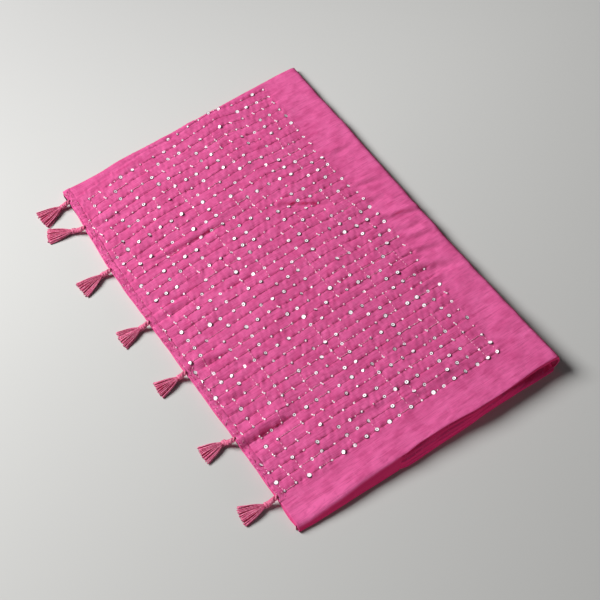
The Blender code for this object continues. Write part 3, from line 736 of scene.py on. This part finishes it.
def panel_grid():
    places = [(up, 0, 0) for up in np.linspace(0, 1, PANEL_ROWS)]
    places += [(1, (step + 1) / CROSS_STEPS, 0) for step in range(CROSS_STEPS)]
    places = np.array(places + [(1, 1, back) for back in HAIRPIN_RETURN]).T
    stations = [panel_column(kind, value, *places) for kind, value in panel_columns()]
    points, uvs = (np.array(group) for group in zip(*stations))
    # The hem side's free edge turns down.
    rim = points[:, :1] + (0, EDGE_TURN / 4, -EDGE_TURN)
    rim[..., 2] = np.maximum(rim[..., 2], LOWEST)
    return np.concatenate([rim, points], 1), np.concatenate([uvs[:, :1] - (0, EDGE_TURN), uvs], 1)


def build_panel(material):
    points, uvs = panel_grid()
    data = MeshData()
    data.add(points, grid_faces(*points.shape[:2])[:, ::-1], uvs)
    # Rounded edges where the cloth's thickness shows: the selvedge and the open corner.
    add_tube(data, points[0, 1:], 0.00045, 5)
    corner = points[-len(LIP_RETURN) - 1, -CROSS_STEPS - len(HAIRPIN_RETURN) - 2:]
    add_tube(data, corner, 0.0008, 6)
    return data.build("stole_top_cloth", material, "cloth", "stole_top_panel")


# ---- the layers under it
CORNER = 0.0018
CORNER_SHARES = (0.2, 0.4, 0.6, 0.8)
LAYER_STEP = 0.004
LAYER_LEVELS = 42
FOLD_LAYERS = 7  # folds up the long fold's side
END_LAYERS = 4  # folds up the hem side
HEM_SET_BACK = 0.0014
HEM_SIDE_END = (0.232, 0.243)  # over this the hem side's own layers close up to the corner
INNER_RINGS = (0.97, 0.9, 0.78, 0.62, 0.45, 0.27, 0.1, 0)
LAYER_UNDER = 0.0024  # the layers' top lies this far under the cloth's at their sides
LAYER_UNDER_INSIDE = 0.0046  # and this far further in, below the deepest crease
ROLL_FILL = 0.0108  # the layers fill the open end of the roll so far out
LAYERS_AHEAD = 0.008  # the layers come out this far before the roll lifts off them
LEVELS = np.linspace(0, 1, LAYER_LEVELS)  # shares of the layers' height, from the table up


def layer_crowns(layers, depth, place):
    """How far the grooves between layers go in, and how far each layer wanders."""
    layer = np.minimum(np.floor(LEVELS * layers), layers - 1)
    groove = depth * (1 - np.abs(np.sin(pi * LEVELS * layers)) ** 0.6)
    wander = 0.0005 * np.sin(31 * place + 2.1 * layer) + 0.0004 * np.sin(83 * place + 4.3 * layer)
    return wander - groove


# Each side gives how far out it stands at every level, and the height of its top.
def long_fold_side(y):
    lip = ease(0, 1, fold_at(y + LAYERS_AHEAD, "lip"))
    recess, bulge, split = (fold_at(y, name) for name in ("recess", "bulge", "split"))
    lower = np.clip(LEVELS / split, 0, 1)
    above = 1 - np.clip((lower - BULGE_PEAK) / (1 - BULGE_PEAK), 0, 1) ** 1.4
    swell = np.where(lower > BULGE_PEAK, above, 1 - 0.5 * (1 - lower / BULGE_PEAK) ** 2)
    out = np.where(LEVELS < split, bulge * (0.35 + 0.65 * swell), -recess)
    out = mix(-0.001, out, lip) + lip * layer_crowns(FOLD_LAYERS, 0.0006, y)
    top = flat_height(fold_at(y, "turn"), y) - mix(LAYER_UNDER, 2 * lip_half(y) + 0.0005, lip)
    return out, top


def cross_fold_side(x):
    out = (CROSS_REACH - 0.003) * np.sqrt(np.clip(1 - (2 * LEVELS - 1) ** 2, 0, 1)) - 0.0012
    return out, flat_height(x, cross_y(x)) - LAYER_UNDER


def selvedge_side(y):
    out = layer_crowns(FOLD_LAYERS, 0.0007, y) - 0.0006
    return out, flat_height(selvedge_x(y), y) - SELVEDGE_DROP - 0.0006


def hem_side(x):
    past = ease(HEM_END_X - HEM_FADE, HEM_END_X + HEM_RAMP, x) * (1 - ease(*HEM_SIDE_END, x))
    out = past * (0.0014 * (LEVELS < 0.6) - 0.0045 * ((LEVELS >= 0.6) & (LEVELS < 0.86)))
    out = out + layer_crowns(END_LAYERS, 0.0008, x)
    return out, flat_height(x, hem_y(x)) - mix(HEM_THICK + 0.0006, 0.0016, past)


def layer_side(start, end, place, angle, side):
    """Stations along one side: x, y, the way it faces, its reach and its heights."""
    places = np.linspace(start, end, round(abs(end - start) / LAYER_STEP) + 1)
    return [(*place(where), angle, side(where)[0], side(where)[1] * LEVELS) for where in places]


def rounded_corner(last, first):
    turn = np.array([cos(last[2]) + cos(first[2]), sin(last[2]) + sin(first[2])])
    start, end = np.array(last[:2]), np.array(first[:2])
    centre = (start + end) / 2 - CORNER / 2 * turn
    radius = (np.linalg.norm(start - centre) + np.linalg.norm(end - centre)) / 2
    stations = []
    for share in CORNER_SHARES:
        angle = last[2] + pi / 2 * share
        spot = centre + radius * np.array([cos(angle), sin(angle)])
        stations.append((*spot, angle, *(mix(a, b, share) for a, b in zip(last[3:], first[3:]))))
    return stations


def fold_foot(y):
    """Where the layers' side stands at the long fold: inside the roll's end near the hem."""
    return fold_at(y, "turn") + ROLL_FILL * ease(-0.13, -0.155, y)


def layer_stations():
    low_y, high_y = hem_y(0) + HEM_SET_BACK, cross_y(0) - CROSS_REACH
    sides = [
        layer_side(selvedge_x(low_y) + CORNER, fold_foot(low_y) - CORNER,
                   lambda x: (x, hem_y(x) + HEM_SET_BACK), -pi / 2, hem_side),
        layer_side(low_y + CORNER, high_y - CORNER + 0.002,
                   lambda y: (fold_foot(y), y), 0, long_fold_side),
        layer_side(fold_foot(high_y) - CORNER, selvedge_x(high_y) + CORNER,
                   lambda x: (x, cross_y(x) - CROSS_REACH), pi / 2, cross_fold_side),
        layer_side(high_y - CORNER, low_y + CORNER,
                   lambda y: (selvedge_x(y) + SELVEDGE_REACH / 2, y), pi, selvedge_side),
    ]
    outline = []
    for side, following in zip(sides, sides[1:] + sides[:1]):
        outline += side + rounded_corner(side[-1], following[0])
    return outline


def build_layers(material):
    x, y, turn, out, height = (np.array(group).T for group in zip(*layer_stations()))
    rings = np.stack([x + out * np.cos(turn), y + out * np.sin(turn), height], -1)
    rim = rings[-1, :, :2]
    spots = [mix(rim.mean(0), rim, share) for share in INNER_RINGS]
    inner = [np.column_stack([spot, flat_height(*spot.T) - LAYER_UNDER_INSIDE]) for spot in spots]
    rings = np.concatenate([rings, inner])
    data = MeshData()
    data.add(rings, grid_faces(*rings.shape[:2], wrap=True))
    data.faces.append(list(range(len(x)))[::-1])
    return data.build("folded_cloth_layers", material, "cloth", "folded_layers")


# ---- the hem
HEM_STEP = 0.0013
HEM_PUFF = 0.00025
HEM_GATHER = 0.00016
HEM_WAVE = 0.00025
HEM_DROOP_X = -0.232  # from here to the selvedge its under side comes down to the table
STITCH_RADIUS = 0.00022
STITCH_LANES = (0.17, 0.19, 0.3, 0.45, 0.6, 0.75, 0.9)  # shares of the hem's width
# Shares of the hem's width from its outer edge, and the rise over its seam in mm.
HEM_PROFILE = table(
    "inward rise", (1, 1000), (1, -0.3), (0.92, 0.1), (0.76, 0.4), (0.55, 0.3), (0.34, 0.5),
    (0.24, 0.3), (0.19, -0.3), (0.14, 0.3), (0.05, 0.1), (0, -0.9), (0.03, -1.9), (0.16, -2.5),
    (1, -2.5),
)
HEM_TOP_RINGS = 9  # the first of these are its top face
HEM_START_X = selvedge_x(hem_y(SELVEDGE_X))
UP = np.array([0, 0, 1])


def hem_top(x):
    return spot_height(x, hem_y(x) + HEM_WIDTH + 0.0005)


def hem_point(x, inward, rise):
    """Points on the hem; inward is a share of its width."""
    puff = HEM_PUFF * ripples("puff", x, inward * HEM_WIDTH)
    gather = HEM_GATHER * ripples("gather", x, inward * HEM_WIDTH)
    wave = HEM_WAVE * ripples("wave", x, 0)
    left = ease(HEM_END_X + 0.0005, HEM_END_X - HEM_FADE, x)
    droop = ease(HEM_DROOP_X, HEM_DROOP_X - 0.012, x) * (rise < -0.0012)
    rise = mix(0.25 * rise - 0.0002, rise + puff + gather, left)
    rise = mix(rise, 0.0008 - hem_top(x), droop)
    return np.stack([x, hem_y(x) + inward * HEM_WIDTH + wave * left, hem_top(x) + rise], -1)


def build_hem(material):
    start = HEM_START_X + 0.0002
    x = np.linspace(start, HEM_END_X, round((HEM_END_X - start) / HEM_STEP))
    rings = np.stack([hem_point(x, inward, rise) for inward, rise in zip(*HEM_PROFILE)], 1)
    sides = rings.shape[1]
    data = MeshData()
    uvs = np.stack([rings[..., 0], rings[..., 1] - rings[..., 2]], -1)
    data.add(rings, grid_faces(len(x), sides, wrap=True)[:, ::-1], uvs)
    data.faces += [list(range(sides)), list(range(data.count - sides, data.count))[::-1]]
    return data.build("hemmed_end", material, "hem", "end_hem")


def on_hem(x, inward, lift):
    """A point a little over the hem's top face."""
    rise = np.interp(inward, *(column[:HEM_TOP_RINGS][::-1] for column in HEM_PROFILE))
    return hem_point(np.array([x]), inward, rise)[0] + lift * UP


def build_hem_stitches(material, seed, count, lift):
    """Short uneven stitches over the width of the hem, most of them along it."""
    data = MeshData()
    draw = np.random.default_rng(seed)
    for _ in range(count):
        x, inward = draw.uniform(HEM_START_X + 0.003, HEM_END_X - 0.004), draw.choice(STITCH_LANES)
        length, slant = draw.uniform(0.0012, 0.0034), draw.normal(0, 0.06)
        a, b = on_hem(x, inward + slant, lift), on_hem(x + length, inward - slant, lift)
        add_tube(data, bezier(a, (a + b) / 2 + 0.0004 * UP, b, 4), STITCH_RADIUS, 4)
    return data.build(f"hem_stitches_{seed}", material, "thread")


# ---- sequins, beads and threads
# Each kind: radius, its hole's radius, how far it lies off the cloth and whether a bead fills it.
SEQUINS = {
    "bright": (0.00215, 0.0002, 0.0009, False),
    "ringed": (0.002, 0.00074, 0.0008, True),
    "holed": (0.00178, 0.0008, 0.0008, False),
    "glint": (0.00118, 0.0002, 0.0006, False),
}
KINDS = ("bright", "ringed", "holed", "glint", "knot", "pair", "none")
MAIN_SHARES = (0.07, 0.16, 0.21, 0.25, 0.12, 0.15, 0.04)
NEAR_HEM_SHARES = (0.13, 0.1, 0.12, 0.3, 0.11, 0.2, 0.04)
LAST_ROW_SHARES = (0.24, 0.34, 0.22, 0.13, 0.03, 0.03, 0.01)
FIRST_ROW_SHARES = (0, 0, 0.1, 0.4, 0.3, 0.15, 0.05)
NEAR_HEM = 0.034
NUDGE_X, NUDGE_Y = 0.0004, 0.0007  # how far a dot strays from its place
SEQUIN_SIDES = 14
SEQUIN_THICK = 0.00018
SHADOW_RIM_WIDTH = 0.00068  # a dark thread ring, painted shadow, shows this far out from under a sequin
TILT = 0.08
TIED_SHARE = 0.22  # the share of larger sequins with a knot on them
SPECK_SHARE = 0.1  # the share of row stitches with a seed bead on them
SPECK_RADIUS = 0.00062
ROW_RADIUS = 0.00031
COLUMN_RADIUS = 0.0003
ROW_SHARE = 0.93
PALE_ROW_SHARE = 0.16  # this share of the row stitches is paler and lies on top
COLUMN_SHARE = 0.13
COLUMN_SHARE_HEM = 0.6  # near the hem
RUN_ON = 0.55  # the chance that a stitch between rows goes on to the next row
DASHES = 3  # each such stitch shows as this many short ones

Dot = namedtuple("Dot", "x y kind")


def near_hem(x, y):
    return y < hem_y(x) + NEAR_HEM


def grid_dots():
    """Every place on the grid, with the kind of ornament sewn there."""
    draw = np.random.default_rng(20)
    dots = {}
    for row, column in np.ndindex(ROWS, COLUMNS):
        x = row_x(row, 0)
        for _ in range(3):
            y = last_column_y(x) - column * column_pitch(row)
            x = row_x(row, y)
        nudge, chance = draw.normal(0, 1, 2), draw.random()
        if y < hem_y(x) + GRID_MARGIN or (row == 0 and y < FULL_FIRST_ROW_Y):
            continue
        if row >= ROWS - 2:
            shares = LAST_ROW_SHARES
        elif row == 0:
            shares = FIRST_ROW_SHARES
        else:
            shares = NEAR_HEM_SHARES if near_hem(x, y) else MAIN_SHARES
        kind = KINDS[min(int(np.searchsorted(np.cumsum(shares), chance)), len(KINDS) - 1)]
        y += NUDGE_Y * nudge[1]
        dots[row, column] = Dot(row_x(row, y) + NUDGE_X * nudge[0], y, kind)
    return dots


def on_cloth(x, y, lift):
    """Points over the cloth's top, along its normal: one for each x and y."""
    ground = np.stack([x, y, spot_height(x, y)], -1)
    return ground + normal_at(x, y) * np.asarray(lift)[..., None]


def circle_on(normal, angle):
    side = unit(np.cross(normal, [0, 1, 0]))
    return circle(side, np.cross(normal, side), angle)


def add_ring_form(data, centre, normal, profile, sides):
    """A closed round form: profile is (radius, height) from the inside, over the top and back."""
    around = circle_on(normal, angles(sides))
    rings = np.array([centre + radius * around + height * normal for radius, height in profile])
    faces = grid_faces(len(profile) + 1, sides, wrap=True)
    data.add(rings, faces % (len(profile) * sides))


def add_sequin(data, shadow_rims, beads, centre, normal, kind, grow):
    """A sequin, a ring of dark thread under it that stands in for the shadow round its edge, and a bead
    in its hole.
    """
    radius, hole, _, beaded = SEQUINS[kind]
    radius *= grow
    under = radius + SHADOW_RIM_WIDTH
    # Painted shadow: a dark ring of thread under the sequin, a little wider, shows as a dark outline
    # round it.
    rim = ((0.0001, -0.0001), (under, -0.0001), (under, -0.0004), (0.0001, -0.0004))
    add_ring_form(shadow_rims, centre - 0.0002 * normal, normal, rim, SEQUIN_SIDES)
    profile = (
        (hole, 0.0001), (mix(hole, radius, 0.35), 0.00022), (radius * 0.86, 0.00012),
        (radius, 0.0002), (radius, 0.0002 - SEQUIN_THICK), (hole, 0.0001 - SEQUIN_THICK),
    )
    add_ring_form(data, centre, normal, profile, SEQUIN_SIDES)
    if beaded:
        bead = ((0.0001, 0), (hole * 0.9, 0), (hole * 0.7, 0.0002), (0.0001, 0.00025))
        add_ring_form(beads, centre - 0.00012 * normal, normal, bead, 8)


def add_bead(data, centre, normal, radius):
    turns = np.linspace(0.1, pi - 0.05, 5)
    profile = [(radius * sin(turn) + 0.00005, -radius * cos(turn)) for turn in turns]
    add_ring_form(data, centre, normal, profile, 8)


def add_knot(data, centre, normal, size, turn):
    """Two short crossing stitches, as in a knot."""
    for angle in (turn, turn + 1.9):
        reach = size * circle_on(normal, angle)
        top = centre + 1.5 * size * normal
        add_tube(data, bezier(centre - reach, top, centre + reach, 5), size * 0.36, 5)


def build_ornaments(dots, foil, glass, deep, pale):
    draw = np.random.default_rng(33)
    sequins, shadow_rims, beads, knots = MeshData(), MeshData(), MeshData(), MeshData()
    for (row, column), dot in dots.items():
        normal = unit(normal_at(dot.x, dot.y) + np.append(draw.normal(0, TILT, 2), 0))
        grow, turn, chance = draw.uniform(0.9, 1.08), draw.uniform(0, pi), draw.random()
        if dot.kind in SEQUINS:
            centre = on_cloth(dot.x, dot.y, SEQUINS[dot.kind][2])
            add_sequin(sequins, shadow_rims, beads, centre, normal, dot.kind, grow)
            if dot.kind == "glint" or chance < TIED_SHARE:
                off = 0.0007 * np.array([cos(turn), sin(turn), 0])
                add_knot(knots, centre + off, normal, 0.001, turn)
        if dot.kind == "pair":
            for way in (-1, 1):
                spot = on_cloth(dot.x + way * 0.0013, dot.y + way * 0.0005, 0.0008)
                add_bead(sequins, spot, normal, 0.00085 * grow)
        if dot.kind in ("pair", "knot"):
            size = 0.0009 if dot.kind == "pair" else 0.0012 * grow
            add_knot(knots, on_cloth(dot.x, dot.y, 0.0003), normal, size, turn)
        if chance > 1 - SPECK_SHARE and (row, column + 1) in dots:
            y = dot.y - (0.3 + 0.4 * turn / pi) * column_pitch(row)
            add_bead(sequins, on_cloth(row_x(row, y), y, 0.0006), normal, SPECK_RADIUS)
    return [
        sequins.build("sequins", foil, "sequin", sharp=40),
        beads.build("sequin_beads", glass, "sequin"),
        shadow_rims.build("sequin_shadow_rims", deep, "thread"),
        knots.build("thread_knots", pale, "thread"),
    ]


def build_threads(dots, light, deep):
    """Running threads along the rows, most of them dark to stand in for the shade in the row grooves,
    and broken lighter stitches from row to row.
    """
    draw = np.random.default_rng(57)
    rows, columns = MeshData(), MeshData()
    going_on = set()
    for (row, column), dot in dots.items():
        chance = draw.random(4)
        following, below = dots.get((row, column + 1)), dots.get((row + 1, column))
        if following and chance[0] < ROW_SHARE:
            y = np.linspace(dot.y, following.y, 9)
            pale = chance[3] < PALE_ROW_SHARE
            x = row_x(row, y) + 0.00015 * np.sin(900 * y + row) + (-0.0003 if pale else 0.00025)
            lift = 0.00008 + 0.0002 * np.sin(np.linspace(0, pi, 9)) * chance[2] + 0.0003 * pale
            radius = ROW_RADIUS * (0.7 + 0.6 * chance[2])
            add_tube(columns if pale else rows, on_cloth(x, y, lift), radius, 5)
        share = COLUMN_SHARE_HEM if near_hem(dot.x, dot.y) else COLUMN_SHARE
        share = max(share, RUN_ON if (row, column) in going_on else 0)
        if below and abs(below.y - dot.y) < 0.004 and chance[1] < share:
            going_on.add((row + 1, column))
            for dash in range(DASHES):
                along = (dash + np.linspace(0.12, 0.8, 4)) / DASHES
                x, y = mix(dot.x, below.x, along), mix(dot.y, below.y, along)
                dashed = on_cloth(x, y, (0.0001, 0.0004, 0.0004, 0.0001))
                add_tube(columns, dashed, COLUMN_RADIUS * (0.8 + 0.4 * chance[2]), 4)
    return [
        # Painted shade: the dark row threads stand in for the shaded grooves beside them.
        rows.build("row_threads", deep, "thread"),
        columns.build("column_stitches", light, "thread"),
    ]


# ---- the tassels
# Each tassel, in mm: x, how far its knot lies from the hem's edge there (x, y) and its tip from the
# knot (x, y), and the width of its fan.
TASSELS = np.array((
    (-233, 0, 9.5, 1.5, 29, 26.5),
    (-190.5, -5.5, 12.6, -11.2, 27.2, 21),
    (-123, -1, 10, 3.3, 29.2, 25),
    (-39, -1, 9.5, -0.5, 26.2, 25),
    (36.5, -1, 8, -0.8, 26.5, 21.5),
    (131, -4.5, 10.8, -0.8, 25.5, 22.5),
    (208.5, -0.8, 12.2, -4.4, 28, 22.5),
)) / 1000
CORD_OVER_EDGE = ((0, 0.0014, -0.0004), (0, -0.0008, 0.0002), (0, -0.0034, -0.0012))
KNOT_Z = 0.0038
KNOT_TURNS = 2
KNOT_ENDS = (-0.003, 0.0018)  # along the tassel, from the knot's middle
KNOT_RADIUS = 0.002
WRAP_RADIUS = 0.0015
CORE_ENDS = (-0.0012, 0.008)
CORE_RADII = (0.0012, 0.0016, 0.0016, 0.0014, 0.001, 0.0005)
PLY_RADIUS = 0.00165
PLY_OFFSET = 0.0015
TWIST_PITCH = 0.0064
LOCKS = 10  # the upper strands hang together in so many locks
UPPER_STRANDS = 60
LOWER_STRANDS = 26
FLYAWAYS = 4
STRAND_RADIUS = 0.0005
STRAND_POINTS = 9


def build_tassel(material, number, x, knot_dx, knot_dy, skirt_dx, skirt_dy, fan):
    draw = np.random.default_rng(400 + number)
    edge, top = hem_y(x), hem_top(x)
    knot = np.array([x + knot_dx, edge - knot_dy, KNOT_Z])
    skirt = np.array([skirt_dx, -skirt_dy, 0])
    length = np.linalg.norm(skirt)
    heading = skirt / length
    level = np.array([-heading[1], heading[0], 0])
    data = MeshData()

    # The twisted cord comes up through the hem, over its edge and out to the knot.
    hole, over, out = np.array([x, edge, top]) + CORD_OVER_EDGE
    sag = np.array([mix(x, knot[0], 0.4), edge - 0.0065, mix(top, KNOT_Z, 0.75) - 0.0006])
    path = np.concatenate([bezier(hole, over, out, 9), bezier(out, sag, knot, 14)[1:]])
    run = run_along(path)
    for phase in (0, pi):
        ply = path + PLY_OFFSET * circle(*square_to(path), 2 * pi * run / TWIST_PITCH + phase)
        add_tube(data, ply, PLY_RADIUS * (0.6 + 0.4 * ease(0, 0.0055, run)), 8)

    # The knot, its thread wound round it, and the bundle's core.
    share = np.linspace(0, 1, 34)
    wraps = KNOT_RADIUS * circle(level, UP, 2 * pi * KNOT_TURNS * share)
    add_tube(data, knot + heading * mix(*KNOT_ENDS, share)[:, None] + wraps, WRAP_RADIUS, 9)
    core = knot + heading * np.linspace(*CORE_ENDS, len(CORE_RADII))[:, None]
    add_tube(data, core, CORE_RADII, 10)

    # The skirt: strands that fan out and sink to the table.
    for i in range(UPPER_STRANDS + LOWER_STRANDS + FLYAWAYS):
        upper, stray = i < UPPER_STRANDS, i >= UPPER_STRANDS + LOWER_STRANDS
        lock = 2 * (i % LOCKS + 0.5) / LOCKS - 1
        side = lock + draw.normal(0, 0.026) if upper else draw.uniform(-1, 1)
        layer = draw.uniform(0.35, 1) if upper else draw.uniform(0, 0.3)
        bend = 0.0006 * sin(9 * lock + number)
        reach = length * (1 - 0.05 * side * side + draw.normal(0, 0.022))
        spread = fan / 2 * side * (1.16 if stray else 1)
        start = knot + heading * 0.0008 + level * side * 0.0013 + UP * (layer - 0.5) * 0.0028
        tip = knot + heading * reach + level * (spread + bend)
        tip[2] = mix(0.0006, 0.0036, layer * (1 - 0.5 * side * side)) * (1.3 if stray else 1)
        middle = mix(start, tip, 0.45) + level * (draw.uniform(-0.0002, 0.0002) + spread * 0.12)
        middle[2] += 0.001 * layer
        strand = bezier(start, middle, tip, STRAND_POINTS)
        ripple = np.sin(np.linspace(0, 7, STRAND_POINTS) + 5 * lock) * 0.00022
        strand += ripple[:, None] * level
        strand[:, 2] = np.maximum(strand[:, 2], 0.0005)
        radius = STRAND_RADIUS * (0.55 if stray else draw.uniform(0.85, 1.2))
        add_tube(data, strand, radius * np.linspace(0.9, 1.1, STRAND_POINTS), 5)
    return data.build(f"tassel_yarn_{number}", material, "tassel", f"tassel_{number}")


# ---- everything
def main():
    camera = bpy.data.cameras.new("camera")
    camera.lens = CAMERA_LENS_MM
    bpy.context.scene.camera = add_object("camera", camera, CAMERA_PLACE + SHIFT, CAMERA_TURN)
    build_floor()
    build_lights()
    # The layers' cloth is painted shade all over: its base is the upright faces' painted-shade colour.
    shaded_edge_cloth = woven_material("cloth_pink_edges_shaded", "Object", (60, 60, 1500), (500, 500, 60),
                                base=CLOTH_SIDE_SHADE)
    light = thread_material("thread_pink", THREAD, CLOTH)
    deep = thread_material("thread_deep", THREAD_MID, THREAD_DEEP)
    # Dark thread for the painted-shadow rings under the sequins.
    dark = thread_material("thread_dark_shadow_rims", THREAD_DEEP, THREAD_DARK)
    pale = thread_material("thread_pale", THREAD_PALE, THREAD)
    yarn = yarn_material()
    panel = build_panel(woven_material("cloth_pink", side=CLOTH_FOLD_SHADE))
    folds = build_layers(shaded_edge_cloth)
    dots = grid_dots()
    going_with = [folds, build_hem(woven_material("cloth_pink_hem", painted_shade=0.4))]
    going_with.append(build_hem_stitches(deep, seed=71, count=240, lift=0.00002))
    going_with.append(build_hem_stitches(light, seed=73, count=90, lift=0.0001))
    going_with += build_ornaments(dots, sequin_material(), bead_material(), dark, pale)
    going_with += build_threads(dots, light, deep)
    going_with += [build_tassel(yarn, i, *tassel) for i, tassel in enumerate(TASSELS, start=1)]


main()
